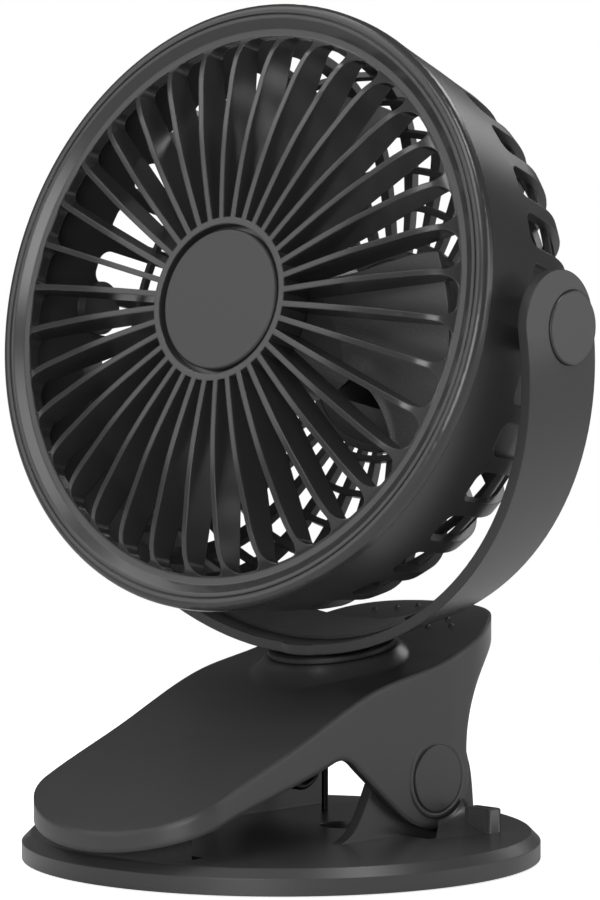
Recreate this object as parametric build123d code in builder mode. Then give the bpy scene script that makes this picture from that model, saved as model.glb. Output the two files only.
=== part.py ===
from build123d import *
from math import atan2, cos, degrees, pi, radians, sin, sqrt
import os

# A desk and clip fan: a round foot carries the lower half of a spring clip, the
# upper jaw of the clip carries a leaning swivel with a U-shaped yoke, and the fan
# head tilts in the yoke.
#
# Frame of the part: millimetres, +Z up, origin at the centre of the foot's
# underside, the clip opens towards -Y and +X is the side with the seen pivot cap.
# "Aft" below is a distance behind the fan head's front rim, along the fan axis.

# ---------------------------------------------------------------- driving sizes
running = 0.06            # radial gap of a pin or shaft that turns in its bore
gap = 0.3                 # gap between neighbouring pieces that move apart
seat = 0.15               # gap of a piece that drops into its seat

# round foot
foot_radius = 61.75
foot_top = 6.7
foot_side = 4.5           # height of the straight side below the bevel
foot_bevel = 2.2
pad_radius = 57.0
pad_thickness = 1.4
pad_proud = 0.5           # how far the rubber pad stands below the moulding

# clip hinge
hinge_y = 23.2
hinge_z = 19.6
pin_radius = 2.0
pin_inner_end = 12.5      # distance of each stub pin's inner end from the middle
lug_radius = 12.0
hinge_cap_radius = 8.0
hinge_cap_proud = 0.5

# jaw moulding
jaw_half_width = 29.0
jaw_wall = 2.2
jaw_top_wall = 2.4
jaw_tip_y = -65.7
jaw_tip_straight_y = -49.7
jaw_tail_straight_y = 29.0
jaw_tail_y = 61.5
grip_pad_inset = 2.0
grip_pad_rear = -54.0
grip_pad_gap = 1.2        # between the pad and the foot when the clip is closed

# ears of the foot
ear_outer = 26.2
ear_wall = 2.8
ear_top_radius = 14.0

# clip spring
spring_wire = 1.6
spring_coil_radius = 6.4  # to the middle of the wire
spring_pitch = 2.1
spring_turns = 4
spring_inner_end = 13.5   # distance of the first turn from the middle of the clip

# swivel under the yoke
swivel_y = 17.5
swivel_z = 50.4           # where the swivel axis meets the yoke's underside
swivel_lean = 9.0         # degrees, top of the axis towards the front
swing_rest = 4.0          # degrees that the yoke stands turned at rest
swivel_disc_radius = 15.5
swivel_disc_thickness = 1.6
swivel_seat_radius = 16.4
swivel_flare_radius = 28.5
swivel_flare_drop = 6.7   # height of the flare under the disc's seat
swivel_screw_radius = 2.0
swivel_head_radius = 3.8
swivel_head_thickness = 1.3
swivel_head_floor = 1.1   # seat of the screw head above the yoke's underside
swivel_boss_radius = 7.0
swivel_boss_bottom = 9.4  # underside of the boss inside the jaw, below the yoke
swivel_nut_radius = 4.0
swivel_nut_thickness = 3.0

# yoke
rim_radius = 72.5         # outer radius of the fan head's rim
head_room = 6.0           # from the head's rim out to the yoke's outer radius
yoke_radius = rim_radius + head_room
yoke_wall = 2.5
yoke_width = 25.1
yoke_cap_radius = 8.6
yoke_cap_proud = 0.5
pivot_back = 4.45         # tilt axis behind the swivel axis
arm_boss_radius = 9.8
arm_boss_depth = 2.0
washer_thickness = 0.8
tilt_screw_radius = 1.5
tilt_head_radius = 3.0
tilt_head_thickness = 1.5
tilt_screw_reach = 6.4    # length of each tilt screw inside the cage's boss
cap_depth = 1.0
yoke_foot_radius = 13.5
yoke_cover_width = 16.0
yoke_cover_half = 30.0
yoke_cover_thickness = 1.0
tilt_rest = 23.16         # degrees that the head stands tilted up from the yoke

# fan head
pivot_aft = 25.4
pivot_above_axis = 2.27
rib_count = 36
rib_width = 1.4
rib_turn = -1.6           # degrees that the ribs stand turned about the fan axis
bezel_width = 7.7         # from the dome to the rim
bezel_inner = rim_radius - bezel_width
hub_ring_radius = 19.2
hub_groove_radius = 17.9
hub_cap_radius = 16.75
hub_cap_face = 7.64
cage_wall = 2.4
cage_openings = 34
cage_opening_angle = 7.1  # degrees
cage_opening_aft = 22.0
cage_opening_corner = 3.0
hoop_width = 1.6
hoop_first = 35.5         # along the surface from the cage's front edge
hoop_spacing = 9.0
hoop_count = 6
cage_boss_radius = 6.5
cage_boss_end = 1.7       # wall of each boss beyond its screw's end
liner_start = -27.5       # degrees about the fan axis
liner_end = 16.5
liner_back_aft = 47.0
motor_plate_radius = 23.0
motor_plate_wall = 2.2

# rotor and motor
blade_count = 3
blade_turn = -6.0         # degrees that the wheel stands turned at rest
blade_tip_radius = 55.0
blade_thickness = 1.5
rotor_hub_radius = 18.0
rotor_front_aft = 3.6
rotor_hub_depth = 24.0
rotor_wall = 1.6
shaft_radius = 1.5
motor_radius = 14.0
motor_front_aft = 34.0
bearing_radius = 4.0
bearing_length = 3.0
bell_length = 6.0
motor_screw_place = 8.5
motor_screw_radius = 1.0
motor_screw_head_radius = 1.9
motor_screw_head = 0.9
motor_screw_length = 5.0
rotor_boss_radius = 4.0

# rear pod with battery, board, button and socket
pod_radius = 22.0
pod_depth = 15.0
pod_wall = 1.8
pod_screw_place = 18.0    # distance of each pod screw from the fan axis
pod_screw_radius = 1.0
pod_screw_head_radius = 1.9
pod_screw_head = 1.0
pod_post_radius = 2.6
battery_width = 24.0
battery_height = 22.0
battery_thickness = 7.0
board_radius = 18.5
board_thickness = 1.2
switch_width = 6.0
switch_height = 2.9
button_radius = 5.0
button_proud = 0.8
button_flange = 0.9
button_travel = 0.8
window_place = 10.5
window_radius = 1.2
socket_width = 9.0
socket_height = 3.2
socket_depth = 5.2
socket_inner_end = 13.4   # from the fan axis
socket_outer_end = 20.8

# ---------------------------------------------------------------- shared frames
swivel_plane = Plane(
    origin=(0, swivel_y, swivel_z),
    x_dir=(1, 0, 0),
    z_dir=(0, -sin(radians(swivel_lean)), cos(radians(swivel_lean))),
)
yoke_plane = Plane(swivel_plane.location * Location((0, 0, 0), (0, 0, swing_rest)))
# Head axes: x to the right, y up the head, z forwards along the fan axis.
pivot_plane = Plane(
    yoke_plane.location
    * Location((0, pivot_back, yoke_radius), (90 - tilt_rest, 0, 0))
)
head_plane = Plane(
    pivot_plane.location * Location((0, -pivot_above_axis, pivot_aft))
)
fan_axis = Axis(head_plane.origin, head_plane.z_dir)


def side_of(plane):
    """Plane through the z axis of another plane, with x outwards and y along that axis."""
    return Plane(origin=plane.origin, x_dir=plane.x_dir, z_dir=-plane.y_dir)


def along_x(plane, distance):
    """Plane across the x axis of another plane, at a distance from its origin."""
    return Plane(
        origin=plane.from_local_coords(Vector(distance, 0, 0)),
        x_dir=plane.y_dir,
        z_dir=plane.x_dir,
    )


head_section = side_of(head_plane)
swivel_section = side_of(swivel_plane)

pieces = []


def finish(piece, label):
    """Names a finished piece and keeps it for the export."""
    piece.label = label
    pieces.append(piece)


# ---------------------------------------------------------------- foot
# The moulded foot: a bevelled disc, two hinge ears that rise from it with flared
# roots, a pocket under each lug of the jaw, and slots in the top face.
ear_inner = ear_outer - ear_wall
slot_half = 17.4
slot_front_y = -48.4
slot_rear_y = -43.9
slot_depth = 2.5
round_well = (5.4, 16.5)
round_well_radius = 6.1
lug_pocket_front = 13.3
lug_pocket_rear = 26.5
lug_pocket_outer = 35.5
lug_pocket_floor = 4.2
flare_radius = 11.5
toe_front = 24.5
toe_rear = 32.0
toe_outer = 40.5
toe_top = 12.8
toe_wall = 1.8

with BuildSketch(Plane.YZ.offset(ear_inner)) as ear_outline:
    with BuildLine():
        front = Spline(
            (-7.8, foot_top), (-1.5, 10.3), (3.8, 19.5),
            tangents=((1, 0.12), (0.45, 0.9)),
        )
        top_start = (hinge_y - 9.7, hinge_z + sqrt(ear_top_radius**2 - 9.7**2))
        rise = Line(front @ 1, top_start)
        top_end = (36.5, hinge_z + sqrt(ear_top_radius**2 - (36.5 - hinge_y) ** 2))
        over = ThreePointArc(top_start, (hinge_y, hinge_z + ear_top_radius), top_end)
        rear = Spline(top_end, (38.6, 17.5), (39.5, foot_top), tangents=((0.6, -0.8), (0.05, -1)))
        Polyline(rear @ 1, (39.5, foot_side), (-7.8, foot_side), front @ 0)
    make_face()

with BuildPart() as base_plate:
    with BuildSketch(Plane.XY.offset(pad_proud)):
        Circle(foot_radius)
    extrude(amount=foot_top - pad_proud)
    top_rim = base_plate.edges().filter_by(GeomType.CIRCLE).group_by(Axis.Z)[-1]
    chamfer(top_rim, length=foot_top - foot_side, length2=foot_bevel)
    # ears
    extrude(ear_outline.sketch, amount=ear_wall)
    mirror(about=Plane.YZ)
    # flared root and raised toe outside each ear
    with BuildSketch(Plane.XZ.offset(-toe_front)) as flare:
        with BuildLine():
            foot_of_flare = (ear_outer + flare_radius, foot_top)
            head_of_flare = (ear_outer, foot_top + flare_radius)
            RadiusArc(head_of_flare, foot_of_flare, flare_radius)
            Polyline(foot_of_flare, (ear_outer + flare_radius, foot_side), (ear_outer, foot_side), head_of_flare)
        make_face()
    extrude(amount=-(toe_rear - toe_front))
    with BuildSketch(Plane.XY.offset(foot_side)):
        with Locations(((ear_outer + toe_outer) / 2, (toe_front + toe_rear) / 2 + 1.5)):
            Rectangle(toe_outer - ear_outer, toe_rear - toe_front - 3.0)
    extrude(amount=toe_top - foot_side)
    mirror(about=Plane.YZ)
    for side in (-1, 1):
        with BuildSketch(Plane.YZ.offset(side * ear_outer)):
            with Locations((hinge_y, hinge_z)):
                Circle(lug_radius + 2 * gap)
        extrude(amount=side * (jaw_half_width - ear_outer + 2 * gap), mode=Mode.SUBTRACT)
        with BuildSketch(Plane.XY.offset(lug_pocket_floor)):
            with Locations((
                side * (ear_outer + lug_pocket_outer) / 2,
                (lug_pocket_front + lug_pocket_rear) / 2,
            )):
                Rectangle(lug_pocket_outer - ear_outer, lug_pocket_rear - lug_pocket_front)
        extrude(amount=toe_top, mode=Mode.SUBTRACT)
        with BuildSketch(Plane.XY.offset(foot_top)):
            with Locations((
                side * (lug_pocket_outer + toe_outer - toe_wall) / 2,
                (lug_pocket_rear + toe_rear) / 2,
            )):
                Rectangle(toe_outer - toe_wall - lug_pocket_outer, toe_rear - lug_pocket_rear - 2 * toe_wall)
        extrude(amount=toe_top, mode=Mode.SUBTRACT)
    # hole for the hinge pin
    with BuildSketch(Plane.YZ.offset(-ear_outer)):
        with Locations((hinge_y, hinge_z)):
            Circle(pin_radius + running)
    extrude(amount=2 * ear_outer, mode=Mode.SUBTRACT)
    # slot and round well in the top face
    with BuildSketch(Plane.XY.offset(foot_top - slot_depth)):
        with Locations((0, (slot_front_y + slot_rear_y) / 2)):
            RectangleRounded(2 * slot_half, slot_rear_y - slot_front_y, 1.2)
        with Locations(round_well):
            Circle(round_well_radius)
    extrude(amount=slot_depth + 1, mode=Mode.SUBTRACT)
    # recess for the rubber pad
    with BuildSketch(Plane.XY):
        Circle(pad_radius + seat)
    extrude(amount=pad_thickness, mode=Mode.SUBTRACT)
finish(base_plate.part, "base_plate")

# Rubber ring pad under the foot.
with BuildPart() as base_pad:
    with BuildSketch(Plane.XY):
        Circle(pad_radius)
    extrude(amount=pad_thickness)
    chamfer(base_pad.edges().group_by(Axis.Z)[0], length=pad_proud)
finish(base_pad.part, "base_pad")

# ---------------------------------------------------------------- upper jaw
# The jaw is a hollow moulding: its plan outline and its side outline cut one
# another, and the inside follows both at the wall thickness.


def jaw_plan(inset):
    """Plan outline of the jaw, drawn a wall thickness further in for its inside."""
    half = jaw_half_width - inset
    tip = jaw_tip_straight_y - jaw_tip_y - inset
    tail = jaw_tail_y - jaw_tail_straight_y - inset
    with BuildSketch(Plane.XY) as outline:
        with Locations((0, jaw_tip_straight_y)):
            Ellipse(half, tip)
        with Locations((0, jaw_tail_straight_y)):
            Ellipse(half, tail)
        with Locations((0, (jaw_tip_straight_y + jaw_tail_straight_y) / 2)):
            Rectangle(2 * half, jaw_tail_straight_y - jaw_tip_straight_y)
    return outline.sketch


jaw_top_points = [(-66.5, 12.9), (-45.7, 23.7), (-24.2, 32.1), (3.5, 42.9), (25.2, 47.1), (35.9, 50.7), (62.5, 56.2)]

with BuildSketch(Plane.YZ.offset(-jaw_half_width - 1)) as jaw_side:
    with BuildLine():
        crest = Spline(*jaw_top_points)
        tip_line = Line(crest @ 0, (-66.5, 8.4))
        belly = Spline(tip_line @ 1, (-49.3, 16.1), (-24.2, 23.0), (-12.6, 26.6))
        arch = TangentArc(belly @ 1, (-4.6, 24.5), tangent=belly % 1)
        slope = Line(arch @ 1, (5.0, 16.6))
        heel = Spline(slope @ 1, (14.4, 9.7), (hinge_y, hinge_z - lug_radius), tangents=(slope % 1, (1, 0)))
        lug_end = (hinge_y + lug_radius * cos(radians(25)), hinge_z + lug_radius * sin(radians(25)))
        lug = ThreePointArc(heel @ 1, (hinge_y + lug_radius * cos(radians(-35)), hinge_z - lug_radius * sin(radians(35))), lug_end)
        back = Spline(lug @ 1, (34.9, 32.3), (39.5, 41.6), (50.0, 49.0), (62.5, 51.6))
        Line(back @ 1, crest @ 1)
    make_face()

with BuildSketch(Plane.YZ.offset(-jaw_half_width)) as jaw_hollow_side:
    with BuildLine():
        under = Spline(*[(y, z - jaw_top_wall) for y, z in jaw_top_points])
        Polyline(under @ 1, (62.5, 0), (-66.5, 0), under @ 0)
    make_face()

with BuildPart() as jaw_hollow:
    add(jaw_plan(jaw_wall))
    extrude(amount=jaw_half_width * 2)
    extrude(jaw_hollow_side.sketch, amount=2 * jaw_half_width, mode=Mode.INTERSECT)

seat_top = gap + swivel_disc_thickness
with BuildPart() as jaw_shell:
    add(jaw_plan(0))
    extrude(amount=jaw_half_width * 2)
    extrude(jaw_side.sketch, amount=2 * jaw_half_width + 2, mode=Mode.INTERSECT)
    # round seat of the swivel, which flares down into the jaw's top
    with BuildSketch(swivel_section):
        with BuildLine():
            flare_edge = (swivel_flare_radius, -seat_top - swivel_flare_drop)
            flare_face = Spline(
                (swivel_seat_radius, -seat_top), flare_edge,
                tangents=((0.75, -1), (1, -0.35)),
            )
            Polyline(flare_edge, (swivel_flare_radius, -seat_top - swivel_flare_drop - jaw_wall),
                     (0, -seat_top - swivel_flare_drop - jaw_wall), (0, -seat_top), flare_face @ 0)
        make_face()
    revolve(axis=Axis(swivel_plane.origin, swivel_plane.z_dir))
    add(jaw_hollow.part, mode=Mode.SUBTRACT)
    with BuildSketch(swivel_plane.offset(-seat_top - jaw_top_wall)):
        Circle(swivel_boss_radius)
    extrude(amount=-(swivel_boss_bottom - seat_top - jaw_top_wall))
    with BuildSketch(swivel_plane.offset(-gap)):
        Circle(swivel_screw_radius)
    extrude(amount=-swivel_boss_bottom, mode=Mode.SUBTRACT)
    # bores for the stub pins
    with BuildSketch(Plane.YZ.offset(-jaw_half_width - 1)):
        with Locations((hinge_y, hinge_z)):
            Circle(pin_radius)
    extrude(amount=2 * jaw_half_width + 2, mode=Mode.SUBTRACT)
finish(jaw_shell.part, "jaw_shell")

# Rubber pad that fills the jaw's tip and bites on what is clamped.
with BuildPart() as grip_pad:
    add(jaw_plan(jaw_wall + grip_pad_inset))
    extrude(amount=jaw_half_width * 2)
    with BuildSketch(Plane.YZ.offset(-jaw_half_width)):
        with BuildLine():
            pad_top = Spline(*[(y, z - jaw_top_wall - running) for y, z in jaw_top_points])
            Polyline(pad_top @ 1, (62.5, 0), (-66.5, 0), pad_top @ 0)
        make_face()
        with Locations((grip_pad_rear, foot_top + grip_pad_gap)):
            Rectangle(60, 60, align=(Align.MAX, Align.MIN), mode=Mode.INTERSECT)
    extrude(amount=2 * jaw_half_width, mode=Mode.INTERSECT)
finish(grip_pad.part, "jaw_grip_pad")

for side, label in ((1, "hinge_cap_right"), (-1, "hinge_cap_left")):
    with BuildPart() as hinge_cap:
        with BuildSketch(Plane.YZ.offset(side * jaw_half_width)):
            with Locations((hinge_y, hinge_z)):
                Circle(hinge_cap_radius)
        extrude(amount=side * hinge_cap_proud)
    finish(hinge_cap.part, label)

# Steel stub pins, one through each jaw wall and ear. The middle stays open.
with BuildPart() as hinge_pins:
    for side in (-1, 1):
        with BuildSketch(Plane.YZ.offset(side * pin_inner_end)):
            with Locations((hinge_y, hinge_z)):
                Circle(pin_radius)
        extrude(amount=side * (jaw_half_width - pin_inner_end))
finish(hinge_pins.part, "hinge_pins")

# ---------------------------------------------------------------- clip springs
# Torsion springs round the stub pins: a lower leg stands on the foot, an upper leg
# pushes up under the jaw's tail.


def helix_point(turn):
    """Point and direction on the spring's helix after a number of turns, x along the pin."""
    angle = 2 * pi * turn
    point = Vector(
        spring_pitch * turn,
        hinge_y + spring_coil_radius * cos(angle),
        hinge_z + spring_coil_radius * sin(angle),
    )
    direction = Vector(
        spring_pitch / (2 * pi),
        -spring_coil_radius * sin(angle),
        spring_coil_radius * cos(angle),
    ).normalized()
    return point, direction


def biarc(start, start_direction, end, end_direction):
    """Two tangent arcs that join two points with given directions."""
    chord = end - start
    both = start_direction + end_direction
    square = 2 * (1 - start_direction.dot(end_direction))
    reach = (sqrt(chord.dot(both) ** 2 + square * chord.dot(chord)) - chord.dot(both)) / square
    middle = (start + start_direction * reach + end - end_direction * reach) * 0.5
    first = TangentArc(start, middle, tangent=start_direction)
    TangentArc(middle, end, tangent=first % 1)


leg_head_z = 45.7
for side, label in ((1, "clip_spring_right"), (-1, "clip_spring_left")):
    with BuildPart() as clip_spring:
        with BuildLine(Plane.XY.offset(0)) as spring_path:
            start, start_direction = helix_point(0)
            Line((start.X, start.Y, foot_top), start)
            for quarter in range(4 * spring_turns):
                near, near_direction = helix_point(quarter / 4)
                far, far_direction = helix_point((quarter + 1) / 4)
                biarc(near, near_direction, far, far_direction)
            end, end_direction = helix_point(spring_turns)
            Line(end, (end.X, end.Y, leg_head_z))
        with BuildSketch(Plane(origin=spring_path.line @ 0, z_dir=(0, 0, 1))):
            Circle(spring_wire / 2)
        sweep()
    spring = clip_spring.part.moved(Location((spring_inner_end, 0, 0)))
    if side < 0:
        spring = mirror(spring, about=Plane.YZ)
    finish(spring, label)
turn_gap = spring_pitch - spring_wire
print("clip spring: gap between turns", round(turn_gap, 2), "mm")

# ---------------------------------------------------------------- swivel
with BuildPart() as swivel_disc:
    with BuildSketch(swivel_plane.offset(-gap)):
        Circle(swivel_disc_radius)
        Circle(swivel_screw_radius, mode=Mode.SUBTRACT)
    extrude(amount=-swivel_disc_thickness)
    chamfer(swivel_disc.edges().filter_by(GeomType.CIRCLE).sort_by(SortBy.RADIUS)[-2:], length=0.35)
finish(swivel_disc.part, "swivel_disc")

# The screw turns in the yoke's foot and is held under the jaw by a washer and a nut.
with BuildPart() as swivel_screw:
    with BuildSketch(swivel_plane.offset(swivel_head_floor)):
        Circle(swivel_head_radius)
    extrude(amount=swivel_head_thickness)
    with BuildSketch(swivel_plane.offset(swivel_head_floor)):
        Circle(swivel_screw_radius)
    extrude(amount=-(swivel_head_floor + swivel_boss_bottom + washer_thickness + swivel_nut_thickness + 1))
finish(swivel_screw.part, "swivel_screw")

with BuildPart() as swivel_washer:
    with BuildSketch(swivel_plane.offset(-swivel_boss_bottom)):
        Circle(swivel_boss_radius - 1)
        Circle(swivel_screw_radius, mode=Mode.SUBTRACT)
    extrude(amount=-washer_thickness)
finish(swivel_washer.part, "swivel_washer")

with BuildPart() as swivel_nut:
    with BuildSketch(swivel_plane.offset(-swivel_boss_bottom - washer_thickness)):
        RegularPolygon(swivel_nut_radius, 6)
        Circle(swivel_screw_radius, mode=Mode.SUBTRACT)
    extrude(amount=-swivel_nut_thickness)
finish(swivel_nut.part, "swivel_nut")

# ---------------------------------------------------------------- yoke
# A U-shaped band: an arc about the tilt axis with two straight arms and round tops.
arm_top = 1.8
yoke_inner = yoke_radius - yoke_wall
yoke_front = Plane(origin=yoke_plane.origin, x_dir=yoke_plane.x_dir, z_dir=-yoke_plane.y_dir)
yoke_cheek = along_x(yoke_plane, -yoke_radius)
top_centre = yoke_radius + arm_top

with BuildPart(yoke_front) as yoke_band:
    with BuildSketch(yoke_front.offset(-yoke_width / 2)):
        with BuildLine():
            for radius in (yoke_radius, yoke_inner):
                CenterArc((0, yoke_radius), radius, 180, 180)
            for side in (-1, 1):
                Line((side * yoke_radius, yoke_radius), (side * yoke_radius, top_centre + yoke_width))
                Line((side * yoke_inner, yoke_radius), (side * yoke_inner, top_centre + yoke_width))
                Line((side * yoke_radius, top_centre + yoke_width), (side * yoke_inner, top_centre + yoke_width))
        make_face()
    extrude(amount=yoke_width)
    # round tops
    with BuildSketch(yoke_cheek):
        with Locations((0, top_centre)):
            Circle(yoke_width / 2)
        with Locations((0, top_centre / 2 - 5)):
            Rectangle(yoke_width, top_centre + 10)
    extrude(amount=2 * yoke_radius, mode=Mode.INTERSECT)
    # flat round foot under the band
    with BuildSketch(yoke_plane):
        Circle(yoke_foot_radius)
    extrude(amount=yoke_wall)
    # inward bosses, cap recesses and holes for the tilt screws
    for side in (-1, 1):
        with BuildSketch(along_x(yoke_plane, side * yoke_inner)):
            with Locations((pivot_back, yoke_radius)):
                Circle(arm_boss_radius)
        extrude(amount=-side * arm_boss_depth)
        with BuildSketch(along_x(yoke_plane, side * yoke_radius)):
            with Locations((pivot_back, yoke_radius)):
                Circle(tilt_screw_radius + running)
        extrude(amount=-side * 2 * yoke_wall, mode=Mode.SUBTRACT)
        with BuildSketch(along_x(yoke_plane, side * yoke_radius)):
            with Locations((pivot_back, yoke_radius)):
                Circle(yoke_cap_radius + seat)
        extrude(amount=-side * cap_depth, mode=Mode.SUBTRACT)
        with BuildSketch(along_x(yoke_plane, side * (yoke_radius - cap_depth))):
            with Locations((pivot_back, yoke_radius)):
                Circle(tilt_head_radius + gap)
        extrude(amount=-side * (tilt_head_thickness + gap), mode=Mode.SUBTRACT)
    # hole for the swivel screw and the recess of its head
    with BuildSketch(yoke_plane.offset(-1)):
        Circle(swivel_screw_radius + running)
    extrude(amount=yoke_wall + 2, mode=Mode.SUBTRACT)
    with BuildSketch(yoke_plane.offset(swivel_head_floor - running)):
        Circle(swivel_head_radius + gap)
    extrude(amount=yoke_wall, mode=Mode.SUBTRACT)
finish(yoke_band.part, "yoke_band")

# Curved cover over the swivel screw, inside the band.
with BuildPart(yoke_front) as yoke_inner_cover:
    with BuildSketch(yoke_front.offset(-yoke_cover_width / 2)):
        with Locations((0, yoke_radius)):
            Circle(yoke_inner - running)
            Circle(yoke_inner - yoke_cover_thickness, mode=Mode.SUBTRACT)
        with Locations((0, 0)):
            Rectangle(2 * yoke_cover_half, yoke_inner, mode=Mode.INTERSECT)
    extrude(amount=yoke_cover_width)
finish(yoke_inner_cover.part, "yoke_inner_cover")

washer_outer = yoke_inner - arm_boss_depth
tilt_screw_end = washer_outer - washer_thickness - tilt_screw_reach
for side, word in ((1, "right"), (-1, "left")):
    tilt_location = Location((pivot_back, yoke_radius))
    with BuildPart() as yoke_cap:
        with BuildSketch(along_x(yoke_plane, side * (yoke_radius - cap_depth + seat))):
            with Locations(tilt_location):
                Circle(yoke_cap_radius)
        extrude(amount=side * (cap_depth - seat + yoke_cap_proud))
        outer_rim = yoke_cap.edges().group_by(Axis(yoke_plane.origin, yoke_plane.x_dir))[-1 if side > 0 else 0]
        chamfer(outer_rim, length=0.25)
    finish(yoke_cap.part, "yoke_cap_" + word)

    head_seat = yoke_radius - cap_depth - tilt_head_thickness - gap + running
    with BuildPart() as tilt_screw:
        with BuildSketch(along_x(yoke_plane, side * head_seat)):
            with Locations(tilt_location):
                Circle(tilt_head_radius)
        extrude(amount=side * tilt_head_thickness)
        with BuildSketch(along_x(yoke_plane, side * head_seat)):
            with Locations(tilt_location):
                Circle(tilt_screw_radius)
        extrude(amount=-side * (head_seat - tilt_screw_end))
    finish(tilt_screw.part, "tilt_screw_" + word)

# Friction washers between the arms and the bosses of the cage.
with BuildPart() as friction_washers:
    for side in (-1, 1):
        with BuildSketch(along_x(yoke_plane, side * washer_outer)):
            with Locations((pivot_back, yoke_radius)):
                Circle(cage_boss_radius - 0.4)
                Circle(tilt_screw_radius + running, mode=Mode.SUBTRACT)
        extrude(amount=-side * washer_thickness)
finish(friction_washers.part, "friction_washers")

# ---------------------------------------------------------------- front grille
# A low dome of straight radial ribs, a few millimetres deep, between a hub ring and
# a stepped bezel. Each slot narrows to the hub and has round outer corners.
dome_heights = [
    # share of the way from the hub ring to the slots' outer ends, height
    (0.0, 8.0), (0.24, 8.3), (0.415, 8.1), (0.57, 7.4), (0.68, 6.6),
    (0.77, 6.0), (0.835, 5.3), (0.90, 4.25), (0.955, 2.5), (1.0, 0.0),
]
grille_front = [(hub_ring_radius + share * (bezel_inner - hub_ring_radius), height) for share, height in dome_heights]
grille_back = -1.2        # behind the hub
bezel_back = -2.8         # behind the slots' outer ends
bezel_land = 1.7          # flat ring round the slots
bezel_step = 2.2          # sloped step from that ring up to the outer land
bezel_face = 1.3          # height of the outer land
bezel_round = 1.5         # rounded outer edge
groove_width = 0.4
groove_depth = 0.4
rim_edge = -0.5
rim_back = -2.0
hub_floor = 5.0
slot_inner = 19.6
slot_outer = bezel_inner - 0.3
slot_corner = 2.8
half_pitch = radians(180 / rib_count)

with BuildSketch() as grille_slot:
    with BuildLine():
        near = (slot_inner * cos(half_pitch), slot_inner * sin(half_pitch) - rib_width / 2)
        far = (slot_outer * cos(half_pitch), slot_outer * sin(half_pitch) - rib_width / 2)
        Line(near, far)
        ThreePointArc(far, (slot_outer, 0), (far[0], -far[1]))
        Polyline((far[0], -far[1]), (near[0], -near[1]), near)
    make_face()
    fillet(grille_slot.vertices().sort_by(Axis.X)[-2:], slot_corner)

with BuildPart(head_plane) as front_grille:
    with BuildSketch(head_section):
        with BuildLine():
            Polyline((0, hub_floor), (hub_groove_radius, hub_floor), (hub_groove_radius, 8.0), grille_front[0])
            front_curve = Spline(*grille_front, tangents=((1, 0.05), (1, -1.6)))
            land_end = bezel_inner + bezel_land
            round_start = rim_radius - bezel_round
            groove_end = round_start - 1.0
            Polyline(
                front_curve @ 1, (land_end, 0), (land_end + bezel_step, bezel_face),
                (groove_end - groove_width, bezel_face), (groove_end - groove_width, bezel_face - groove_depth),
                (groove_end, bezel_face - groove_depth), (groove_end, bezel_face), (round_start, bezel_face),
            )
            round_middle = (round_start + bezel_round * sin(pi / 4), rim_edge + (bezel_face - rim_edge) * sin(pi / 4))
            ThreePointArc((round_start, bezel_face), round_middle, (rim_radius, rim_edge))
            Polyline(
                (rim_radius, rim_edge), (rim_radius, rim_back), (land_end, rim_back), (land_end, bezel_back),
                (hub_groove_radius, grille_back), (0, grille_back), (0, hub_floor),
            )
        make_face()
    revolve(axis=fan_axis)
    with BuildSketch(head_plane.offset(bezel_back - 1)):
        with PolarLocations(0, rib_count, start_angle=180 / rib_count + rib_turn):
            add(grille_slot.sketch)
    extrude(amount=20, mode=Mode.SUBTRACT)
finish(front_grille.part, "front_grille")

# Plain round cap in the middle of the grille.
with BuildPart(head_plane) as hub_cap:
    with BuildSketch(head_plane.offset(5.0)):
        Circle(hub_cap_radius)
    extrude(amount=hub_cap_face - 5.0)
    chamfer(hub_cap.edges().filter_by(GeomType.CIRCLE).group_by(fan_axis)[-1], length=0.4)
finish(hub_cap.part, "hub_cap")

# ---------------------------------------------------------------- rear cage
# A tapering shell whose side and dome are cut by straight openings, with thin
# hoops set inside the ribs and a round plate in the middle that holds the motor.
cage_front = (rim_radius - 0.1, rim_back)
taper_end = (rim_radius - 5.1, -32.0)
dome_turn = (rim_radius - 27.7, -56.9)
dome_end = (motor_plate_radius, -60.3)


def cage_profile(inset):
    """Open outline of the cage from rim to plate, moved inwards by an inset."""
    with BuildLine(mode=Mode.PRIVATE) as outline:
        side_line = Line((cage_front[0] - inset, cage_front[1]), (taper_end[0] - inset, taper_end[1]))
        shoulder_end = (dome_turn[0] - 0.2 * inset, dome_turn[1] + 0.95 * inset)
        shoulder = TangentArc(side_line @ 1, shoulder_end, tangent=side_line % 1)
        TangentArc(shoulder @ 1, (dome_end[0], dome_end[1] + inset), tangent=shoulder % 1)
    return outline.wire()


opening_half = radians(cage_opening_angle / 2)
cutter_reach = rim_radius + 5


def wedge(inner_radius):
    """Sketch of one cage opening seen along the fan axis."""
    with BuildSketch(mode=Mode.PRIVATE) as outline:
        with BuildLine():
            Polyline(
                (inner_radius * cos(opening_half), inner_radius * sin(opening_half)),
                (cutter_reach * cos(opening_half), cutter_reach * sin(opening_half)),
                (cutter_reach * cos(opening_half), -cutter_reach * sin(opening_half)),
                (inner_radius * cos(opening_half), -inner_radius * sin(opening_half)),
                close=True,
            )
        make_face()
    return outline.sketch


with BuildPart() as opening_cutter:
    with BuildSketch(Plane.XY.offset(-cage_opening_aft)):
        add(wedge(bezel_inner - 8))
    extrude(amount=-10)
    front_corners = opening_cutter.edges().group_by(Axis.Z)[-1].sort_by(SortBy.LENGTH)[-2:]
    fillet(front_corners, cage_opening_corner)
    with BuildSketch(Plane.XY.offset(-cage_opening_aft - 5)):
        add(wedge(motor_plate_radius + 1.5))
    extrude(amount=-45)

liner_plane = Plane(head_plane.location * Location((0, 0, 0), (0, 0, liner_start)))
liner_section = side_of(liner_plane)

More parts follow.
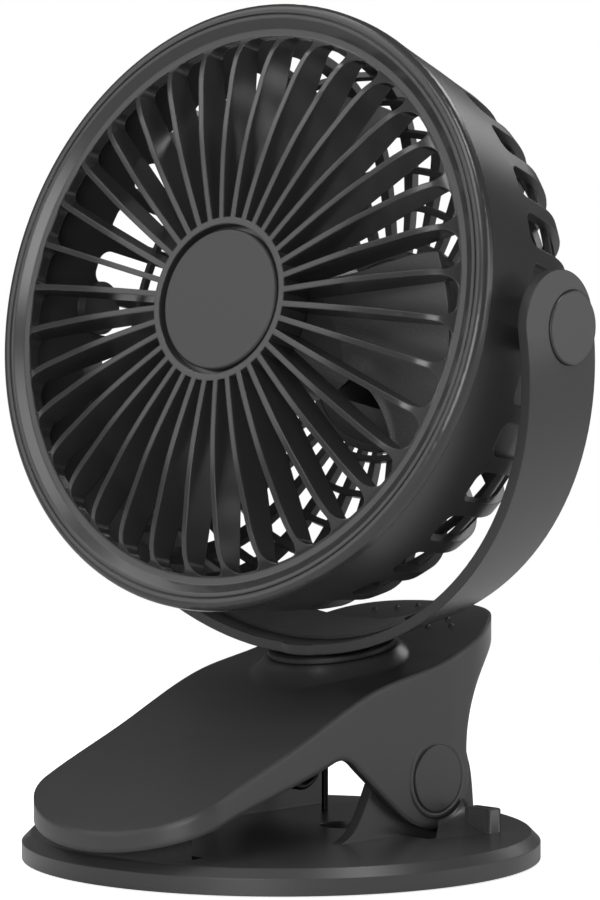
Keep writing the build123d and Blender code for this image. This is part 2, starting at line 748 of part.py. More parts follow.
with BuildPart(head_plane) as rear_cage:
    with BuildSketch(head_section):
        with BuildLine():
            add(cage_profile(0))
            add(cage_profile(cage_wall))
            Line(cage_front, (cage_front[0] - cage_wall, cage_front[1]))
            Line(dome_end, (dome_end[0], dome_end[1] + cage_wall))
        make_face()
    revolve(axis=fan_axis)
    with PolarLocations(0, cage_openings):
        add(opening_cutter.part, mode=Mode.SUBTRACT)
    # hoops inside the ribs
    hoop_line = cage_profile(cage_wall + hoop_width / 2 - 0.5)
    with BuildSketch(head_section):
        for number in range(hoop_count):
            distance = hoop_first + number * hoop_spacing
            place = hoop_line @ (distance / hoop_line.length)
            heading = hoop_line % (distance / hoop_line.length)
            with Locations(Location((place.X, place.Y, 0), (0, 0, degrees(atan2(heading.Y, heading.X))))):
                Rectangle(hoop_width, hoop_width)
    revolve(axis=fan_axis)
    # plate that carries the motor
    with BuildSketch(head_plane.offset(dome_end[1])):
        Circle(motor_plate_radius + 1.6)
    extrude(amount=motor_plate_wall)
    # liner behind the blind openings of the right side
    with BuildSketch(liner_section):
        with BuildLine():
            inner_line = cage_profile(cage_wall + 0.6)
            outer_line = cage_profile(cage_wall - 0.8)
            add(inner_line)
            add(outer_line)
            Line(inner_line @ 0, outer_line @ 0)
            Line(inner_line @ 1, outer_line @ 1)
        make_face()
        with Locations((cutter_reach / 2, -(cage_opening_aft - 2 + liner_back_aft) / 2)):
            Rectangle(cutter_reach, liner_back_aft - cage_opening_aft + 2, mode=Mode.INTERSECT)
    revolve(axis=fan_axis, revolution_arc=liner_end - liner_start)
    # tilt bosses and their screw holes
    for side in (-1, 1):
        with BuildSketch(along_x(head_plane, side * (tilt_screw_end - cage_boss_end))):
            with Locations((pivot_above_axis, -pivot_aft)):
                Circle(cage_boss_radius)
        extrude(amount=side * (washer_outer - washer_thickness - running - tilt_screw_end + cage_boss_end))
        with BuildSketch(along_x(head_plane, side * tilt_screw_end)):
            with Locations((pivot_above_axis, -pivot_aft)):
                Circle(tilt_screw_radius)
        extrude(amount=side * 12, mode=Mode.SUBTRACT)
    # holes of the pod screws
    with BuildSketch(head_plane.offset(dome_end[1])):
        with PolarLocations(pod_screw_place, 2):
            Circle(pod_screw_radius)
        with PolarLocations(motor_screw_place, 2, start_angle=90):
            Circle(motor_screw_radius)
    extrude(amount=motor_plate_wall, mode=Mode.SUBTRACT)
    with BuildSketch(head_plane.offset(dome_end[1])):
        with PolarLocations(motor_screw_place, 2, start_angle=90):
            Circle(motor_screw_head_radius + seat)
    extrude(amount=motor_screw_head, mode=Mode.SUBTRACT)
finish(rear_cage.part, "rear_cage")

# ---------------------------------------------------------------- motor and rotor
motor_back = dome_end[1] + motor_plate_wall
bell_front = motor_back + bell_length

with BuildPart(head_plane) as motor_housing:
    with BuildSketch(head_plane.offset(bell_front)):
        Circle(motor_radius)
        Circle(shaft_radius + 1, mode=Mode.SUBTRACT)
    extrude(amount=-motor_front_aft - bell_front)
    with BuildSketch(head_plane.offset(-motor_front_aft)):
        Circle(bearing_radius)
    extrude(amount=-bearing_length, mode=Mode.SUBTRACT)
    chamfer(motor_housing.edges().filter_by(GeomType.CIRCLE).group_by(fan_axis)[-1].sort_by(SortBy.RADIUS)[-1], length=1.0)
finish(motor_housing.part, "motor_housing")

with BuildPart(head_plane) as motor_end_bell:
    with BuildSketch(head_plane.offset(motor_back)):
        Circle(motor_radius)
    extrude(amount=bell_length)
    with BuildSketch(head_plane.offset(bell_front)):
        Circle(bearing_radius)
    extrude(amount=-bearing_length, mode=Mode.SUBTRACT)
    with BuildSketch(head_plane.offset(motor_back)):
        with PolarLocations(motor_screw_place, 2, start_angle=90):
            Circle(motor_screw_radius)
    extrude(amount=motor_screw_length - motor_plate_wall, mode=Mode.SUBTRACT)
finish(motor_end_bell.part, "motor_end_bell")

with BuildPart(head_plane) as motor_screws:
    with BuildSketch(head_plane.offset(dome_end[1])):
        with PolarLocations(motor_screw_place, 2, start_angle=90):
            Circle(motor_screw_head_radius)
    extrude(amount=motor_screw_head)
    with BuildSketch(head_plane.offset(dome_end[1])):
        with PolarLocations(motor_screw_place, 2, start_angle=90):
            Circle(motor_screw_radius)
    extrude(amount=motor_screw_length)
finish(motor_screws.part, "motor_screws")

with BuildPart(head_plane) as motor_bearings:
    for front_face in (-motor_front_aft, bell_front):
        with BuildSketch(head_plane.offset(front_face)):
            Circle(bearing_radius)
            Circle(shaft_radius + running, mode=Mode.SUBTRACT)
        extrude(amount=-bearing_length)
finish(motor_bearings.part, "motor_bearings")

with BuildPart(head_plane) as rotor_shaft:
    with BuildSketch(head_plane.offset(bell_front - bearing_length + gap)):
        Circle(shaft_radius)
    extrude(amount=-rotor_front_aft - rotor_wall - bell_front + bearing_length - gap)
finish(rotor_shaft.part, "rotor_shaft")

# A cup-shaped hub with broad swept blades.
blade_middle_aft = 15.6
blade_stations = [
    # radius, chord, pitch, sweep
    (12.0, 25.0, 46.0, 0.0),
    (32.0, 40.0, 32.0, -4.0),
    (46.0, 62.0, 20.0, -10.0),
    (blade_tip_radius + 1.5, 72.0, 16.5, -13.0),
]


def blade_section(radius, chord, pitch, sweep_angle):
    """Thin section of a blade, square to the radius, as a sketch in hub axes."""
    angle = radians(sweep_angle)
    lean = radians(pitch)
    along = (-sin(angle) * cos(lean), cos(angle) * cos(lean), sin(lean))
    plane = Plane(
        origin=(radius * cos(angle), radius * sin(angle), -blade_middle_aft),
        x_dir=along,
        z_dir=(cos(angle), sin(angle), 0),
    )
    with BuildSketch(plane) as section:
        Rectangle(chord, blade_thickness)
    return section.sketch


with BuildPart() as blade:
    for station in blade_stations:
        add(blade_section(*station))
    loft()
    with BuildSketch(Plane.XY.offset(-rotor_front_aft - rotor_hub_depth - 10)):
        Circle(blade_tip_radius)
    extrude(amount=rotor_hub_depth + 20, mode=Mode.INTERSECT)

with BuildPart(head_plane) as impeller:
    with BuildSketch(head_plane.offset(-rotor_front_aft)):
        Circle(rotor_hub_radius)
    extrude(amount=-rotor_hub_depth)
    with PolarLocations(0, blade_count, start_angle=blade_turn):
        add(blade.part)
    with BuildSketch(head_plane.offset(-rotor_front_aft - rotor_wall)):
        Circle(rotor_hub_radius - rotor_wall)
        Circle(rotor_boss_radius, mode=Mode.SUBTRACT)
    extrude(amount=-rotor_hub_depth, mode=Mode.SUBTRACT)
    with BuildSketch(head_plane.offset(-rotor_front_aft - rotor_wall)):
        Circle(shaft_radius)
    extrude(amount=-rotor_hub_depth, mode=Mode.SUBTRACT)
finish(impeller.part, "impeller")

# ---------------------------------------------------------------- rear pod
pod_front = dome_end[1]
pod_back = pod_front - pod_depth
wall_front = pod_back + pod_wall
socket_middle = pod_front - battery_thickness - board_thickness - socket_height / 2

with BuildPart(head_plane) as pod_cover:
    with BuildSketch(head_plane.offset(pod_back)):
        Circle(pod_radius)
    extrude(amount=pod_depth)
    chamfer(pod_cover.edges().group_by(fan_axis)[0], length=1.5)
    with BuildSketch(head_plane.offset(wall_front)):
        Circle(pod_radius - pod_wall)
    extrude(amount=pod_depth, mode=Mode.SUBTRACT)
    # posts and recesses of the two screws
    with BuildSketch(head_plane.offset(wall_front)):
        with PolarLocations(pod_screw_place, 2):
            Circle(pod_post_radius)
    extrude(amount=pod_depth - pod_wall)
    with BuildSketch(head_plane.offset(pod_back)):
        with PolarLocations(pod_screw_place, 2):
            Circle(pod_screw_radius)
    extrude(amount=pod_depth, mode=Mode.SUBTRACT)
    with BuildSketch(head_plane.offset(pod_back)):
        with PolarLocations(pod_screw_place, 2):
            Circle(pod_screw_head_radius + seat)
    extrude(amount=pod_screw_head, mode=Mode.SUBTRACT)
    # openings for the button, the lamp window and the socket
    with BuildSketch(head_plane.offset(pod_back)):
        Circle(button_radius + gap)
        with Locations((0, window_place)):
            Circle(window_radius)
    extrude(amount=pod_wall, mode=Mode.SUBTRACT)
    with BuildSketch(Plane(head_plane.location * Location((0, 0, socket_middle), (90, 0, 0)))):
        RectangleRounded(socket_width, socket_height, socket_height / 2 - 0.05)
    extrude(amount=pod_radius, mode=Mode.SUBTRACT)
finish(pod_cover.part, "pod_cover")

with BuildPart(head_plane) as pod_screws:
    with BuildSketch(head_plane.offset(pod_back)):
        with PolarLocations(pod_screw_place, 2):
            Circle(pod_screw_head_radius)
    extrude(amount=pod_screw_head)
    with BuildSketch(head_plane.offset(pod_back)):
        with PolarLocations(pod_screw_place, 2):
            Circle(pod_screw_radius)
    extrude(amount=pod_depth + motor_plate_wall)
finish(pod_screws.part, "pod_screws")

with BuildPart(head_plane) as battery:
    with BuildSketch(head_plane.offset(pod_front)):
        RectangleRounded(battery_width, battery_height, 1.5)
    extrude(amount=-battery_thickness)
finish(battery.part, "battery")

board_front = pod_front - battery_thickness
board_back = board_front - board_thickness
with BuildPart(head_plane) as control_board:
    with BuildSketch(head_plane.offset(board_front)):
        Circle(board_radius)
        with PolarLocations(pod_screw_place, 2):
            Circle(pod_post_radius + gap, mode=Mode.SUBTRACT)
    extrude(amount=-board_thickness)
    # push switch under the button
    with BuildSketch(head_plane.offset(board_back)):
        Rectangle(switch_width, switch_width)
    extrude(amount=-switch_height)
finish(control_board.part, "control_board")

with BuildPart(head_plane) as usb_socket:
    with BuildSketch(Plane(head_plane.location * Location((0, -socket_inner_end, socket_middle), (90, 0, 0)))):
        RectangleRounded(socket_width, socket_height, socket_height / 2 - 0.05)
    extrude(amount=socket_outer_end - socket_inner_end)
    with BuildSketch(Plane(head_plane.location * Location((0, -socket_outer_end, socket_middle), (90, 0, 0)))):
        RectangleRounded(socket_width - 0.7, socket_height - 0.7, socket_height / 2 - 0.4)
    extrude(amount=-socket_depth, mode=Mode.SUBTRACT)
    with BuildSketch(Plane(head_plane.location * Location((0, -socket_outer_end + socket_depth, socket_middle), (90, 0, 0)))):
        Rectangle(socket_width - 2.2, 0.7)
    extrude(amount=socket_depth - 0.6)
finish(usb_socket.part, "usb_socket")

with BuildPart(head_plane) as lamp_window:
    with BuildSketch(head_plane.offset(pod_back)):
        with Locations((0, window_place)):
            Circle(window_radius)
    extrude(amount=pod_wall)
finish(lamp_window.part, "lamp_window")

flange_back = wall_front + running
with BuildPart(head_plane) as power_button:
    with BuildSketch(head_plane.offset(pod_back - button_proud)):
        Circle(button_radius)
    extrude(amount=button_proud + pod_wall + running)
    with BuildSketch(head_plane.offset(flange_back)):
        Circle(button_radius + 1.2)
    extrude(amount=button_flange)
    chamfer(power_button.edges().group_by(fan_axis)[0], length=0.4)
finish(power_button.part, "power_button")

for piece in pieces:
    print(piece.label, round(piece.volume), piece.is_valid)
os.makedirs("parts", exist_ok=True)
for piece in pieces:
    export_step(piece, "parts/" + piece.label + ".step")
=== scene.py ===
import math

import bmesh
import bpy
import numpy as np
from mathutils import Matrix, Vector


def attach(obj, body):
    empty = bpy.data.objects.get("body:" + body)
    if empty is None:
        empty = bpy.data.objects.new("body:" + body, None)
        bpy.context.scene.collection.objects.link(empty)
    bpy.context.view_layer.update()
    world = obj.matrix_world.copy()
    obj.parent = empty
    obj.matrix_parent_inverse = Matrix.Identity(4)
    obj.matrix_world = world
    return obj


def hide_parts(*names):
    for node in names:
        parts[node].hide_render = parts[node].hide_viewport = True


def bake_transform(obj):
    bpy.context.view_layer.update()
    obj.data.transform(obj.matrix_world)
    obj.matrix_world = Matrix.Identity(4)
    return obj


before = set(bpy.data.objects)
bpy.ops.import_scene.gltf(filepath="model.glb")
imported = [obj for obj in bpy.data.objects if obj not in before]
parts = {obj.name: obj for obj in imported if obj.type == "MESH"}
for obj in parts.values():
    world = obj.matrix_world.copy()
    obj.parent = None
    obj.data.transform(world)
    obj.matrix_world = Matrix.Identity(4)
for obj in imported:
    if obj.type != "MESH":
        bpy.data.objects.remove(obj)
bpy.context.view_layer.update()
MM = 0.001

# ---------------------------------------------------------------- camera
# The photograph is taken with a long lens from the fan's right front, a little above
# the foot. The aim point lies on the lens axis, and the small shift frames the fan.
aim = Vector((0.495, 2.017, 105.0)) * MM
camera_distance = 1500 * MM
camera_azimuth = math.radians(43.5)
camera_elevation = math.radians(4.79)
image_width, image_height = 600, 900
focal_px = 6330.48              # focal length in pixels of the photograph
axis_px = (288.54, 417.92)      # where the lens axis meets the photograph
sensor_width = 36.0

camera_data = bpy.data.cameras.new("camera")
camera = bpy.data.objects.new("camera", camera_data)
bpy.context.scene.collection.objects.link(camera)
bpy.context.scene.camera = camera
toward_camera = Vector((
    math.sin(camera_azimuth) * math.cos(camera_elevation),
    -math.cos(camera_azimuth) * math.cos(camera_elevation),
    math.sin(camera_elevation),
))
camera.location = aim + camera_distance * toward_camera
camera.rotation_euler = (-toward_camera).to_track_quat("-Z", "Y").to_euler()
camera_data.sensor_fit = "AUTO"
camera_data.sensor_width = sensor_width
camera_data.lens = sensor_width * focal_px / image_height
camera_data.shift_x = (image_width / 2 - axis_px[0]) / image_height
camera_data.shift_y = (axis_px[1] - image_height / 2) / image_height
camera_data.clip_start = 0.05
camera_data.clip_end = 50


# ---------------------------------------------------------------- studio light
# A product table: soft boxes in front, at the right and high at the left, smaller ones
# that draw the bright rims, and a dim even room with a white backdrop.
def linear(colour):
    """Linear RGBA of an sRGB colour written as '#rrggbb'."""
    channels = np.array([int(colour[i:i + 2], 16) for i in (1, 3, 5)]) / 255
    low = channels / 12.92
    high = ((channels + 0.055) / 1.055) ** 2.4
    return (*np.where(channels <= 0.04045, low, high), 1.0)


def add(tree, kind, settings=None, links=None):
    """Adds one node, sets its attributes and socket values, and links its inputs."""
    node = tree.nodes.new(kind)
    for name, value in (settings or {}).items():
        if isinstance(name, str) and hasattr(node, name):
            setattr(node, name, value)
        else:
            node.inputs[name].default_value = value
    for name, output in (links or {}).items():
        tree.links.new(output, node.inputs[name])
    return node


def soft_box(name, right_of_camera, elevation, size, power):
    """A square lamp aimed at the fan, placed by its angles in degrees seen from the fan.
    The size is in metres and the power in watts."""
    data = bpy.data.lights.new(name, "AREA")
    data.size = size
    data.energy = power
    lamp = bpy.data.objects.new(name, data)
    bpy.context.scene.collection.objects.link(lamp)
    around = camera_azimuth + math.radians(right_of_camera)
    rise = math.radians(elevation)
    outward = Vector((
        math.sin(around) * math.cos(rise), -math.cos(around) * math.cos(rise), math.sin(rise),
    ))
    lamp.location = fan_middle + box_distance * outward
    lamp.rotation_euler = (-outward).to_track_quat("-Z", "Y").to_euler()


fan_middle = Vector((0, 0, 0.1))
box_distance = 1.3              # metres
soft_box("front_box", -15, 8, 0.7, 8.4)
soft_box("high_front_box", -30, 50, 0.7, 4.8)
soft_box("high_left_box", -90, 42, 0.7, 3.4)
soft_box("right_box", 90, 8, 0.7, 2.9)
soft_box("left_strip", -81, 17, 0.35, 0.67)
soft_box("top_right_strip", 60, 60, 0.4, 3.8)
soft_box("rear_strip", 148, 25, 0.35, 1.0)
soft_box("foot_rim_strip", -104, 64, 0.25, 1.2)

room_strength = 0.1
world = bpy.data.worlds.new("white_room")
bpy.context.scene.world = world
world.use_nodes = True
room = world.node_tree
room.nodes.clear()
ray = add(room, "ShaderNodeLightPath")
dim = add(room, "ShaderNodeBackground", {"Color": linear("#ffffff"), "Strength": room_strength})
white = add(room, "ShaderNodeBackground", {"Color": linear("#ffffff"), "Strength": 1.0})
either = add(room, "ShaderNodeMixShader", None, {
    0: ray.outputs["Is Camera Ray"], 1: dim.outputs[0], 2: white.outputs[0],
})
add(room, "ShaderNodeOutputWorld", None, {"Surface": either.outputs[0]})


# ---------------------------------------------------------------- floor
# A round white table top. Near the fan it is a matt surface that keeps the shadow, and
# further out it runs into the white background.
def new_material(name):
    """An empty node material and its tree."""
    material = bpy.data.materials.new(name)
    material.use_nodes = True
    material.node_tree.nodes.clear()
    return material, material.node_tree


floor_radius = 3.0
shadow_radius = 0.16            # the matt surface ends here
fade_radius = 0.4               # the plain white starts here
shadow_lift = 0.8               # white added to the matt surface, which softens the shadow
floor_glow = 0.6                # of the white table top where it is seen in reflections
angle = np.linspace(0, 2 * np.pi, 97)[:-1]
floor_mesh = bpy.data.meshes.new("floor")
rim = np.stack([floor_radius * np.cos(angle), floor_radius * np.sin(angle), 0 * angle], axis=1)
floor_mesh.from_pydata(rim.tolist(), [], [list(range(len(rim)))])
floor = bpy.data.objects.new("floor", floor_mesh)
bpy.context.scene.collection.objects.link(floor)
table_top, tree = new_material("white_table_top")
place = add(tree, "ShaderNodeTexCoord")
distance = add(tree, "ShaderNodeVectorMath", {"operation": "LENGTH"}, {
    0: place.outputs["Object"],
})
fade = add(tree, "ShaderNodeMapRange", {
    "interpolation_type": "SMOOTHSTEP", "From Min": shadow_radius, "From Max": fade_radius,
}, {"Value": distance.outputs["Value"]})
seen = add(tree, "ShaderNodeLightPath")
matt = add(tree, "ShaderNodeBsdfDiffuse", {"Color": linear("#f4f4f4"), "Roughness": 0.5})
lift = add(tree, "ShaderNodeMath", {"operation": "MULTIPLY", 1: shadow_lift}, {
    0: seen.outputs["Is Camera Ray"],
})
lifted = add(tree, "ShaderNodeEmission", {"Color": linear("#ffffff")}, {
    "Strength": lift.outputs[0],
})
near = add(tree, "ShaderNodeAddShader", None, {0: matt.outputs[0], 1: lifted.outputs[0]})
reflected = add(tree, "ShaderNodeMath", {"operation": "MULTIPLY", 1: floor_glow}, {
    0: seen.outputs["Is Glossy Ray"],
})
glow = add(tree, "ShaderNodeMath", {"operation": "MAXIMUM"}, {
    0: seen.outputs["Is Camera Ray"], 1: reflected.outputs[0],
})
far = add(tree, "ShaderNodeEmission", {"Color": linear("#ffffff")}, {"Strength": glow.outputs[0]})
top = add(tree, "ShaderNodeMixShader", None, {
    0: fade.outputs["Result"], 1: near.outputs[0], 2: far.outputs[0],
})
add(tree, "ShaderNodeOutputMaterial", None, {"Surface": top.outputs[0]})
floor_mesh.materials.append(table_top)


# ---------------------------------------------------------------- charcoal mouldings
# Foot, jaw, yoke, grille, cage, pod and the caps are injection moulded in charcoal ABS
# from a finely eroded mould, which gives an even, satin dark grey.
def dress(material, *names):
    """Gives CAD nodes a material in place of their own."""
    for name in names:
        mesh = parts[name].data
        mesh.materials.clear()
        mesh.materials.append(material)


def moulded(name, colour, roughness, grain_mm=0.35, grain_depth_mm=0.006, edge_mm=0.35):
    """Moulded plastic: an even colour, a fine eroded grain in the gloss and the bump, and
    edges rounded as a mould leaves them."""
    cloud_mm, tone_swing = 18, 0.06
    gloss_swing, bump_strength = 0.05, 0.35
    material, tree = new_material(name)
    place = add(tree, "ShaderNodeTexCoord")
    grain = add(tree, "ShaderNodeTexNoise", {
        "Scale": 1 / (grain_mm * MM), "Detail": 2.0, "Roughness": 0.6,
    }, {"Vector": place.outputs["Object"]})
    cloud = add(tree, "ShaderNodeTexNoise", {
        "Scale": 1 / (cloud_mm * MM), "Detail": 3.0,
    }, {"Vector": place.outputs["Object"]})
    tone = add(tree, "ShaderNodeMapRange", {
        "To Min": 1 - tone_swing, "To Max": 1 + tone_swing,
    }, {"Value": cloud.outputs[0]})
    shade = add(tree, "ShaderNodeMix", {
        "data_type": "RGBA", "blend_type": "MULTIPLY", "Factor": 1.0, 6: linear(colour),
    }, {7: tone.outputs[0]})
    gloss = add(tree, "ShaderNodeMapRange", {
        "To Min": roughness - gloss_swing, "To Max": roughness + gloss_swing,
    }, {"Value": grain.outputs[0]})
    rounded = add(tree, "ShaderNodeBevel", {"samples": 4, "Radius": edge_mm * MM})
    bump = add(tree, "ShaderNodeBump", {
        "Strength": bump_strength, "Distance": grain_depth_mm * MM,
    }, {"Height": grain.outputs[0], "Normal": rounded.outputs[0]})
    plastic = add(tree, "ShaderNodeBsdfPrincipled", {"IOR": 1.54}, {
        "Base Color": shade.outputs[2], "Roughness": gloss.outputs[0], "Normal": bump.outputs[0],
    })
    add(tree, "ShaderNodeOutputMaterial", None, {"Surface": plastic.outputs[0]})
    return material


charcoal_abs = moulded("charcoal_abs_moulded", "#393939", 0.32)
dress(
    charcoal_abs, "base_plate", "hinge_cap_left", "hinge_cap_right", "yoke_band",
    "yoke_inner_cover", "yoke_cap_left", "yoke_cap_right", "hub_cap", "rear_cage",
    "pod_cover", "power_button",
)

# The grille is glossier than the rest, so the edges of its ribs draw thin bright lines.
grille_abs = moulded("charcoal_abs_glossy", "#393939", 0.22, edge_mm=0.5)
dress(grille_abs, "front_grille")

# The swivel disc is painted a darker grey than the housing, a painted shade under the yoke, and is
# matt, so it stays dull.
swivel_painted_shade = moulded("swivel_painted_shade_matt", "#202020", 0.5)
dress(swivel_painted_shade, "swivel_disc")

# The jaw's edges are broken by a wide soft bevel, which the shading rounds.
jaw_abs = moulded("charcoal_abs_soft_edged", "#393939", 0.32, edge_mm=1.8)
dress(jaw_abs, "jaw_shell")


# ---------------------------------------------------------------- hinge and foot trim
# A raised ring frames each pivot cap, and a moulded skirt sweeps from each hinge ear down
# to the foot, with a small toe behind it. They are charcoal ABS as the foot and the jaw.
def surface(name, points, material, body):
    """A smooth mesh over a grid of points in millimetres, of shape (rows, columns, 3)."""
    points = np.asarray(points, dtype=float)
    index = np.arange(points.shape[0] * points.shape[1]).reshape(points.shape[:2])
    quads = np.stack([index[:-1, :-1], index[1:, :-1], index[1:, 1:], index[:-1, 1:]], axis=-1)
    mesh = bpy.data.meshes.new(name)
    mesh.from_pydata((points.reshape(-1, 3) * MM).tolist(), [], quads.reshape(-1, 4).tolist())
    mesh.shade_smooth()
    mesh.materials.append(material)
    piece = bpy.data.objects.new(name, mesh)
    bpy.context.scene.collection.objects.link(piece)
    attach(piece, body)


hinge_y, hinge_z = 23.2, 19.6   # millimetres, as all sizes of the trim
jaw_side = 29.0                 # half-width of the jaw at its lugs
foot_top = 6.5


def hinge_ring(side):
    """Half torus round the pivot cap: a circle of ring_radius about the hinge and a tube that
    rises as (1 - sin(around)) / 2, so it is full at the bottom and fades into the lug on top."""
    ring_radius, half_width, full_rise, sunk = 9.0, 0.75, 0.5, 0.02
    around = np.linspace(0, 2 * np.pi, 97)[:, None]
    tube = np.linspace(0, np.pi, 13)[None, :]
    radius = ring_radius - half_width * np.cos(tube)
    rise = full_rise * (1 - np.sin(around)) / 2
    x = side * (jaw_side - sunk + rise * np.sin(tube)) + 0 * around
    y = hinge_y + radius * np.cos(around)
    z = hinge_z + radius * np.sin(around)
    return np.stack([x, y, z], axis=-1)


def foot_skirt(side):
    """Sheet between the hinge ear and the foot. Along it runs from front (0) to rear (1) on
    circles about the hinge. Across it runs out from the ear on collar_radius, in to ring_edge,
    and from there down (0 to 1) to a straight line on the foot, moving outwards as down ** 2."""
    collar_radius, collar_inner_x, collar_outer_x = 12.8, 26.1, 29.5
    ring_edge, ring_x = 9.9, 29.8
    front_turn, turn_span = -92, 58         # degrees
    line_x, line_y = 37.4, 13.4             # front end of the line on the foot
    line_dx, line_dy = 2.9, 17.6
    along = np.linspace(0, 1, 41)[:, None]
    down = np.linspace(0, 1, 33)[None, :]
    turn = np.radians(front_turn + turn_span * along)

    def circle(x, radius):
        y = hinge_y + radius * np.cos(turn)
        z = hinge_z + radius * np.sin(turn)
        return np.stack([x + 0 * along, y, z], axis=-1)

    collar = [circle(collar_inner_x, collar_radius), circle(collar_outer_x, collar_radius)]
    top = circle(ring_x, ring_edge)
    foot = np.stack([
        line_x + line_dx * along, line_y + line_dy * along, foot_top + 0 * along,
    ], axis=-1)
    out = (down ** 2)[..., None]
    drop = down[..., None]
    sweep = top + (foot - top) * np.concatenate([out, out, drop], axis=-1)
    points = np.concatenate([*collar, sweep], axis=1)
    points[..., 2] = np.maximum(points[..., 2], foot_top)
    return points * (side, 1, 1)


def toe_block(side):
    """Upright toe behind the skirt: a rectangle, clip(squareness * cos, sin), swept up to its
    top, in over the wall and down into a narrow slot."""
    middle_x, middle_y, half_x, half_y, top = 36.6, 31.0, 3.8, 2.1, 12.6
    corner, wall, slot_floor, squareness = 0.5, 1.5, 8.0, 6
    around = np.linspace(0, 2 * np.pi, 65)[:, None]
    x = np.clip(np.cos(around) * squareness, -1, 1)
    y = np.clip(np.sin(around) * squareness, -1, 1)
    inset = np.array([0, 0, corner * 0.3, corner, wall, wall])[None, :]
    height = np.array([
        foot_top, top - corner, top - corner * 0.3, top, top, slot_floor,
    ])[None, :]
    return np.stack([
        side * (middle_x + x * (half_x - inset)),
        middle_y + y * (half_y - inset),
        height + 0 * around,
    ], axis=-1)


def trimmed_foot():
    """The foot's own mesh without its plain toe: the faces outside ear_side, between
    toe_front and toe_rear, and above the foot's top. The skirt and the toe take their place."""
    ear_side, toe_front, toe_rear, toe_base = 26.25, 24.3, 32.8, 6.75
    mesh = parts["base_plate"].data.copy()
    shape = bmesh.new()
    shape.from_mesh(mesh)
    place = [(face, face.calc_center_median() / MM) for face in shape.faces]
    toe = [
        face for face, at in place
        if abs(at.x) > ear_side and toe_front < at.y < toe_rear and at.z > toe_base
    ]
    bmesh.ops.delete(shape, geom=toe, context="FACES")
    shape.to_mesh(mesh)
    shape.free()
    piece = bpy.data.objects.new("moulded_foot", mesh)
    bpy.context.scene.collection.objects.link(piece)
    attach(piece, "foot")
    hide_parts("base_plate")


trimmed_foot()
for side, word in ((1, "right"), (-1, "left")):
    surface("hinge_ring_" + word, hinge_ring(side), charcoal_abs, "jaw")
    surface("foot_skirt_" + word, foot_skirt(side), charcoal_abs, "foot")
    surface("foot_toe_" + word, toe_block(side), charcoal_abs, "foot")

# ---------------------------------------------------------------- tail nubs
# Six low round nubs stand on the jaw's tail, three on each side of the yoke. Each is a half
# ellipsoid, seated a little below the jaw's surface.
nub_places = [
    (-14.1, 48.0), (-9.0, 50.6), (-5.3, 54.1), (9.4, 41.5), (11.0, 46.9), (15.4, 43.2),
]
nub_radius, nub_height, nub_sunk = 0.8, 0.7, 0.3
above_jaw = 80                  # height from which the jaw's surface is looked for
around = np.linspace(0, 2 * np.pi, 25)[:, None]
rise = np.linspace(0, np.pi / 2, 7)[None, :]
for number, (x, y) in enumerate(nub_places):
    seat = parts["jaw_shell"].ray_cast(Vector((x, y, above_jaw)) * MM, Vector((0, 0, -1)))[1]
    dome = np.stack([
        x + nub_radius * np.cos(rise) * np.cos(around),
        y + nub_radius * np.cos(rise) * np.sin(around),
        seat.z / MM - nub_sunk + (nub_sunk + nub_height) * np.sin(rise) + 0 * around,
    ], axis=-1)
    surface("tail_nub_%d" % number, dome, charcoal_abs, "jaw")

# ---------------------------------------------------------------- fan wheel
# The blades and hub are moulded in one piece from polished grey ABS, so light slides along
# each blade in a soft streak. Their grey is painted lighter than the housing, a painted sheen
# for the light the blades reflect.
wheel_abs_painted_sheen = moulded("grey_abs_painted_sheen", "#626262", 0.26, grain_mm=0.5, grain_depth_mm=0.001)
dress(wheel_abs_painted_sheen, "impeller")


# ---------------------------------------------------------------- rubber
# The foot stands on a ring of black rubber and the jaw's tip is lined with a rubber pad.
def rubber(name, colour):
    """Vulcanised rubber: dark, dull, with a dusty speckle."""
    dust_mm, dust_depth_mm, bump_strength = 0.8, 0.02, 0.4
    material, tree = new_material(name)
    place = add(tree, "ShaderNodeTexCoord")
    dust = add(tree, "ShaderNodeTexNoise", {
        "Scale": 1 / (dust_mm * MM), "Detail": 3.0,
    }, {"Vector": place.outputs["Object"]})
    dull = add(tree, "ShaderNodeMapRange", {"To Min": 0.7, "To Max": 0.9}, {
        "Value": dust.outputs[0],
    })
    bump = add(tree, "ShaderNodeBump", {
        "Strength": bump_strength, "Distance": dust_depth_mm * MM,
    }, {"Height": dust.outputs[0]})
    body = add(tree, "ShaderNodeBsdfPrincipled", {"Base Color": linear(colour), "IOR": 1.52}, {
        "Roughness": dull.outputs[0], "Normal": bump.outputs[0],
    })
    add(tree, "ShaderNodeOutputMaterial", None, {"Surface": body.outputs[0]})
    return material


black_rubber = rubber("black_rubber", "#141414")
dress(black_rubber, "base_pad", "jaw_grip_pad")


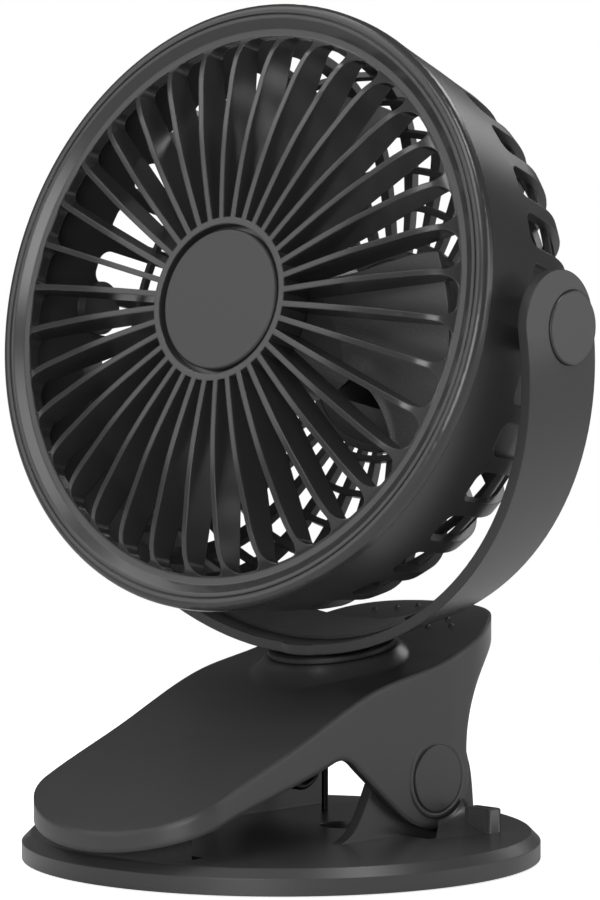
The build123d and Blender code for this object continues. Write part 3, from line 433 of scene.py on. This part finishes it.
# ---------------------------------------------------------------- metal parts
# Springs, pins, screws, washers, the motor's can and the socket's shell are steel, and
# the motor's plain bearings are sintered bronze. The wire is nearly black with a dull
# sheen, the can duller still, the screws bright and the bearings warm.
def metal(name, colour, roughness, streak_mm):
    """Bare or plated metal with fine drawing marks in its gloss."""
    gloss_swing = 0.08
    material, tree = new_material(name)
    place = add(tree, "ShaderNodeTexCoord")
    marks = add(tree, "ShaderNodeTexNoise", {
        "Scale": 1 / (streak_mm * MM), "Detail": 4.0,
    }, {"Vector": place.outputs["Object"]})
    gloss = add(tree, "ShaderNodeMapRange", {
        "To Min": roughness - gloss_swing, "To Max": roughness + gloss_swing,
    }, {"Value": marks.outputs[0]})
    body = add(tree, "ShaderNodeBsdfPrincipled", {"Base Color": linear(colour), "Metallic": 1.0}, {
        "Roughness": gloss.outputs[0],
    })
    add(tree, "ShaderNodeOutputMaterial", None, {"Surface": body.outputs[0]})
    return material


blackened_steel = metal("spring_steel_blackened", "#2b2b2c", 0.42, 0.6)
coated_steel = metal("motor_can_black_coated", "#232324", 0.5, 0.5)
plated_steel = metal("zinc_plated_steel", "#8f9193", 0.34, 0.8)
bronze = metal("sintered_bronze", "#9a7447", 0.45, 0.4)
dress(blackened_steel, "clip_spring_left", "clip_spring_right", "hinge_pins")
dress(coated_steel, "motor_housing", "motor_end_bell")
dress(
    plated_steel, "swivel_screw", "swivel_washer", "swivel_nut", "tilt_screw_left",
    "tilt_screw_right", "motor_screws", "rotor_shaft", "pod_screws", "usb_socket",
)
dress(bronze, "motor_bearings")


# ---------------------------------------------------------------- clip springs
# Each spring of blackened wire winds up as the clip opens. The scene shows a copy of the CAD
# spring's own mesh, fixed where it stands, in place of the hidden CAD node.
def winding_spring(node):
    """A copy of the spring's mesh in its world place, shown instead of the CAD node, which is
    hidden."""
    piece = bpy.data.objects.new(node + "_winding", parts[node].data.copy())
    bpy.context.scene.collection.objects.link(piece)
    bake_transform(piece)
    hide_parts(node)


winding_spring("clip_spring_left")
winding_spring("clip_spring_right")

# ---------------------------------------------------------------- small fittings
# The friction washers are creamy nylon, the battery is wrapped in bright foil, the circuit
# board is glossy and near black, and the lamp window is milky.
nylon = moulded("natural_nylon", "#d8d4c8", 0.4)
dress(nylon, "friction_washers")
battery_foil = metal("battery_foil", "#a8abad", 0.35, 3.0)
dress(battery_foil, "battery")
solder_mask = moulded("black_solder_mask", "#15201a", 0.3, edge_mm=0.1)
dress(solder_mask, "control_board")
milky_lens = moulded("milky_polycarbonate", "#d9dcda", 0.3, edge_mm=0.1)
dress(milky_lens, "lamp_window")

# ---------------------------------------------------------------- view transform
bpy.context.scene.view_settings.view_transform = "Standard"
